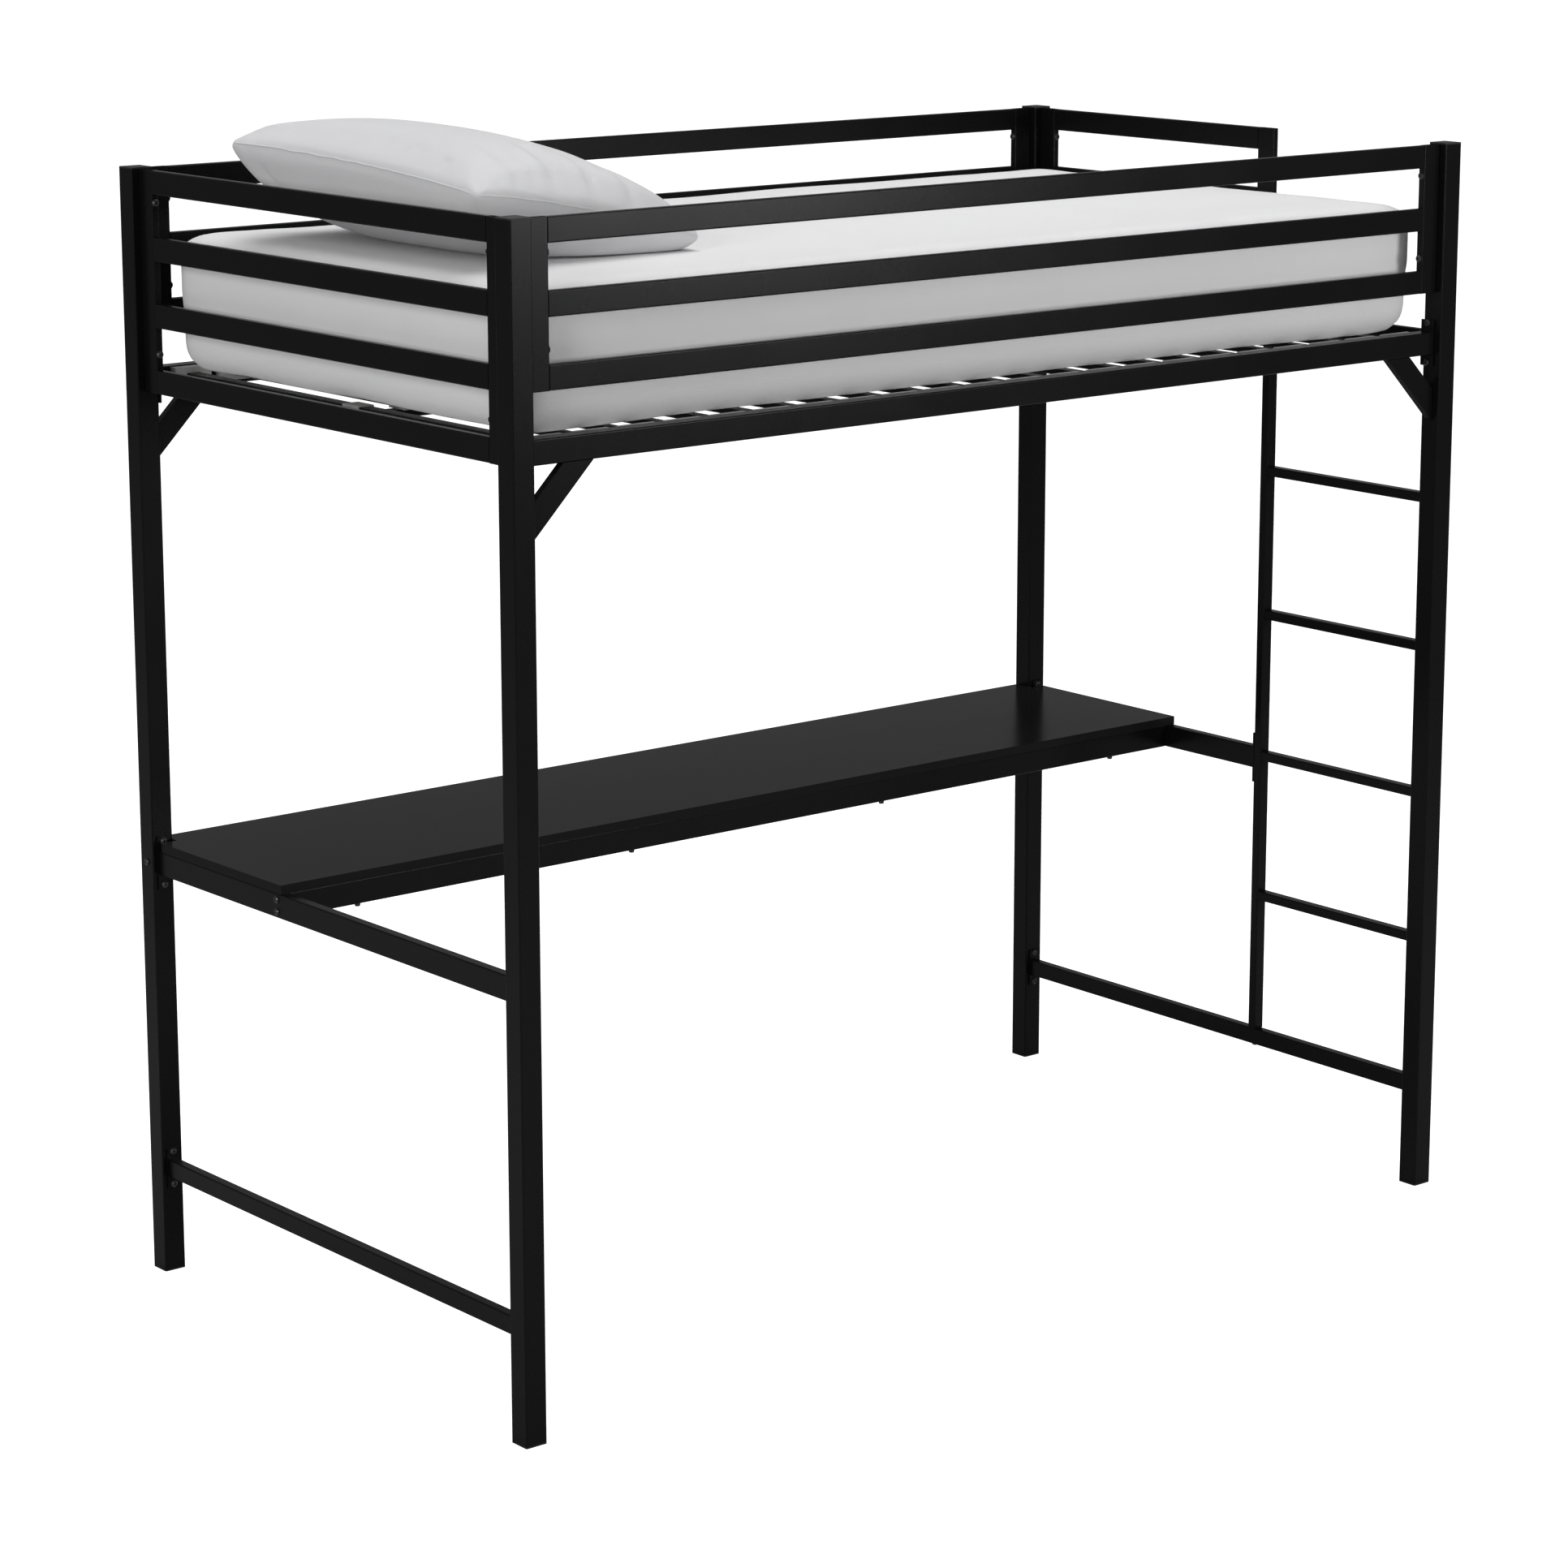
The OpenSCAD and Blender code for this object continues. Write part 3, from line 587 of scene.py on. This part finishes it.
def gathers(u, v):
    """Folds that fan out from the corners and die away towards the middle, and a few soft
    upright ones along the front flank: two sine waves that fade to both ends."""
    total = np.zeros_like(u)
    for cu, cv, deep in corner_folds:
        du, dv = (u - cu) * pillow_size[0] / 2, (v - cv) * pillow_size[1] / 2
        reach = np.hypot(du, dv)
        angle = np.arctan2(dv, du)
        fade = np.exp(-(reach / fold_reach) ** 2) * np.clip(reach / fold_start, 0, 1)
        total += deep * fade * np.sin(folds_a_corner * angle + 18 * reach)
    front = np.exp(-((v + 0.78) / 0.22) ** 2)
    upright = np.sin(19 * u + 4 * v) + 0.6 * np.sin(37 * u - 3 * v)
    total += flank_depth * front * upright * np.exp(-((u + 0.2) / 0.6) ** 2)
    return total


def pillow_shell():
    """Two panels on one grid, joined along the rim. u runs along the lean, v along the
    long side. Returns points and faces."""
    ease = np.sin(np.linspace(-math.pi / 2, math.pi / 2, pillow_steps + 1))
    u, v = np.meshgrid(ease, ease, indexing="ij")
    x, y = pillow_outline(u, v)
    top = pillow_height(u, v, *top_falls) + gathers(u, v) - drooped(u, v)
    low = -belly_share * pillow_height(u, v, *belly_falls) - drooped(u, v)
    n = pillow_steps + 1
    upper = np.stack([x, y, top], -1).reshape(-1, 3)
    lower = np.stack([x, y, low], -1).reshape(-1, 3)
    i, j = np.meshgrid(np.arange(n - 1), np.arange(n - 1), indexing="ij")
    quad = np.stack([i * n + j, (i + 1) * n + j, (i + 1) * n + j + 1, i * n + j + 1], -1)
    quad = quad.reshape(-1, 4)
    rim = np.concatenate([np.arange(n), np.arange(1, n) * n + n - 1,
                          (n - 1) * n + np.arange(n - 2, -1, -1), np.arange(n - 2, 0, -1) * n])
    after = np.roll(rim, -1)
    wall = np.stack([rim + n * n, after + n * n, after, rim], -1)
    return np.concatenate([upper, lower]), np.concatenate([quad, quad[:, ::-1] + n * n, wall])


def leaned(co, centre):
    """Leans flat points up at the head end, turns them in plan, and moves them into place."""
    c, s = math.cos(pillow_lean), math.sin(pillow_lean)
    x = co[:, 0] * c + co[:, 2] * s
    z = -co[:, 0] * s + co[:, 2] * c
    ct, st = math.cos(pillow_turn), math.sin(pillow_turn)
    return np.stack([centre[0] + x * ct - co[:, 1] * st,
                     centre[1] + x * st + co[:, 1] * ct, centre[2] + z], -1)


def rested(co, floor, soft):
    """Flattens what would sink below the surface that the pillow lies on: the lower half of
    a smooth maximum, so the cloth rounds onto the surface."""
    rise = co[:, 2] - floor
    lifted = (rise + np.sqrt(rise ** 2 + soft ** 2)) / 2
    out = co.copy()
    out[:, 2] = floor + np.where(rise > 4 * soft, rise, lifted)
    return out


pil_low, pil_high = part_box("pillow")
pillow_middle = ((pil_low.x + pil_high.x) / 2, (pil_low.y + pil_high.y) / 2,
                 mat_high.z + pillow_thick * pillow_rise)
shell_points, shell_faces = pillow_shell()
pillow = mesh_piece("pillow_case", shell_points, shell_faces, case_cotton)
remeshed(pillow, pillow_voxel)
puffed(pillow, cloth_pressure, pillow_swell)
subdivided(pillow)
pillow_floor = mat_high.z + pillow_clear
pil_co = rested(leaned(coordinates(pillow), pillow_middle), pillow_floor, rest_softness)
set_coordinates(pillow, pil_co)
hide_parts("pillow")
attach(pillow, "pillow")

# Pillow seam.
# The two panels are sewn face to face and turned out, which leaves a thin doubled edge
# that stands out all round like a narrow piping.
seam_radius = 0.0014
seam_sides = 8
seam_turns = 420
seam_smoothings = 6


def seam_path():
    """Points round the pillow's widest outline, in order."""
    turn = np.linspace(0, 2 * math.pi, seam_turns, endpoint=False)
    c, s = np.cos(turn), np.sin(turn)
    reach = 1 / np.maximum(np.abs(c), np.abs(s))
    x, y = pillow_outline(c * reach, s * reach)
    return np.stack([x, y, -drooped(c * reach, s * reach)], -1)


def on_surface(path, piece):
    """Moves each point of a path to the piece's nearest point and evens out the result."""
    co = coordinates(piece)
    near = np.array([co[np.argmin(((co - spot) ** 2).sum(1))] for spot in path])
    for _ in range(seam_smoothings):
        near = (np.roll(near, 1, 0) + 2 * near + np.roll(near, -1, 0)) / 4
    return near


def tube_round(path, radius, sides):
    """A closed tube: a circle carried along a closed path, in the plane across it."""
    ahead = np.roll(path, -1, 0) - np.roll(path, 1, 0)
    ahead /= np.linalg.norm(ahead, axis=1, keepdims=True)
    side = np.cross(ahead, [0, 0, 1.0])
    side /= np.linalg.norm(side, axis=1, keepdims=True)
    up = np.cross(side, ahead)
    turn = np.linspace(0, 2 * math.pi, sides, endpoint=False)
    ring = (side[:, None] * np.cos(turn)[None, :, None] + up[:, None] * np.sin(turn)[None, :, None])
    points = (path[:, None] + radius * ring).reshape(-1, 3)
    i = np.arange(len(path))[:, None]
    j = np.arange(sides)[None, :]
    next_i, next_j = (i + 1) % len(path), (j + 1) % sides
    quads = np.stack([i * sides + j, i * sides + next_j, next_i * sides + next_j,
                      next_i * sides + j], -1)
    return points, quads.reshape(-1, 4)


seam_line = on_surface(rested(leaned(seam_path(), pillow_middle), pillow_floor, rest_softness), pillow)
seam_line[:, 2] = np.maximum(seam_line[:, 2], pillow_floor + seam_radius)
seam_points, seam_faces = tube_round(seam_line, seam_radius, seam_sides)
pillow_seam = mesh_piece("pillow_seam", seam_points, seam_faces, case_cotton)
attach(pillow_seam, "pillow")

# Floor, light and camera.
# A plain pale floor that looks white, an even sky, soft lights overhead and at the head
# end, and a small card light that puts a highlight on the front guard.
floor_colour = (0.6, 0.6, 0.6, 1)
floor_glow_colour = (0.98, 0.98, 0.98, 1)
sky_seen_strength = 1.0
sky_lit_strength = 0.28
floor_material = bpy.data.materials.new("pale_floor")
floor_material.use_nodes = True
floor_shader = floor_material.node_tree.nodes["Principled BSDF"]
floor_shader.inputs["Base Color"].default_value = floor_colour
floor_shader.inputs["Roughness"].default_value = 0.9
floor_shader.inputs["Specular IOR Level"].default_value = 0.1
floor_glow = floor_material.node_tree.nodes.new("ShaderNodeLightPath")
floor_lift = floor_material.node_tree.nodes.new("ShaderNodeMix")
floor_lift.data_type = "RGBA"
floor_lift.inputs[6].default_value = (0, 0, 0, 1)
floor_lift.inputs[7].default_value = floor_glow_colour
floor_links = floor_material.node_tree.links
floor_links.new(floor_glow.outputs["Is Camera Ray"], floor_lift.inputs[0])
floor_links.new(floor_lift.outputs[2], floor_shader.inputs["Emission Color"])
floor_shader.inputs["Emission Strength"].default_value = 1.0
floor_half = 60.0
floor_corners = [(-floor_half, -floor_half, 0), (floor_half, -floor_half, 0),
                 (floor_half, floor_half, 0), (-floor_half, floor_half, 0)]
floor = mesh_piece("floor", floor_corners, [(0, 1, 2, 3)], floor_material, smooth=False)

world = bpy.data.worlds.new("studio") if scene.world is None else scene.world
scene.world = world
world.use_nodes = True
sky_nodes, sky_links = world.node_tree.nodes, world.node_tree.links
sky_nodes.clear()
sky_out = sky_nodes.new("ShaderNodeOutputWorld")
sky_seen = sky_nodes.new("ShaderNodeBackground")
sky_seen.inputs["Strength"].default_value = sky_seen_strength
sky_lit = sky_nodes.new("ShaderNodeBackground")
sky_lit.inputs["Strength"].default_value = sky_lit_strength
sky_mix = sky_nodes.new("ShaderNodeMixShader")
sky_path = sky_nodes.new("ShaderNodeLightPath")
for sky in (sky_seen, sky_lit):
    sky.inputs["Color"].default_value = (1, 1, 1, 1)
sky_links.new(sky_path.outputs["Is Camera Ray"], sky_mix.inputs[0])
sky_links.new(sky_lit.outputs[0], sky_mix.inputs[1])
sky_links.new(sky_seen.outputs[0], sky_mix.inputs[2])
sky_links.new(sky_mix.outputs[0], sky_out.inputs["Surface"])


def soft_light(name, place, target, size, power):
    """A square area light at place that faces target."""
    light = bpy.data.lights.new(name, "AREA")
    light.size = size
    light.energy = power
    lamp = bpy.data.objects.new(name, light)
    lamp.location = place
    lamp.rotation_euler = (Vector(target) - Vector(place)).to_track_quat("-Z", "Y").to_euler()
    lamp.visible_camera = False
    scene.collection.objects.link(lamp)


bed_middle = (0, 0, 1.0)
guard_corner = (-0.6, -0.5, 1.9)
lamps = (("overhead", (0.3, 0.2, 6.0), bed_middle, 4.0, 185),
         ("head_end", (-7.0, -2.8, 3.2), bed_middle, 3.0, 245),
         ("front_card", (1.9, -3.9, 1.95), guard_corner, 0.9, 64))
for lamp in lamps:
    soft_light(*lamp)

camera_yaw = 39.57
camera_pitch = 12.0
camera_sensor = 36
camera_lens = 100.6
camera_shift = (-0.0114, -0.06)
camera_place = (-4.578, -5.518, 2.459)
camera_data = bpy.data.cameras.new("camera")
camera_data.sensor_width = camera_sensor
camera_data.lens = camera_lens
camera_data.shift_x, camera_data.shift_y = camera_shift
camera_data.clip_end = 200
camera = bpy.data.objects.new("camera", camera_data)
camera.location = camera_place
camera.rotation_euler = (math.radians(90 - camera_pitch), 0, math.radians(-camera_yaw))
scene.collection.objects.link(camera)
scene.camera = camera
scene.view_settings.view_transform = "Standard"
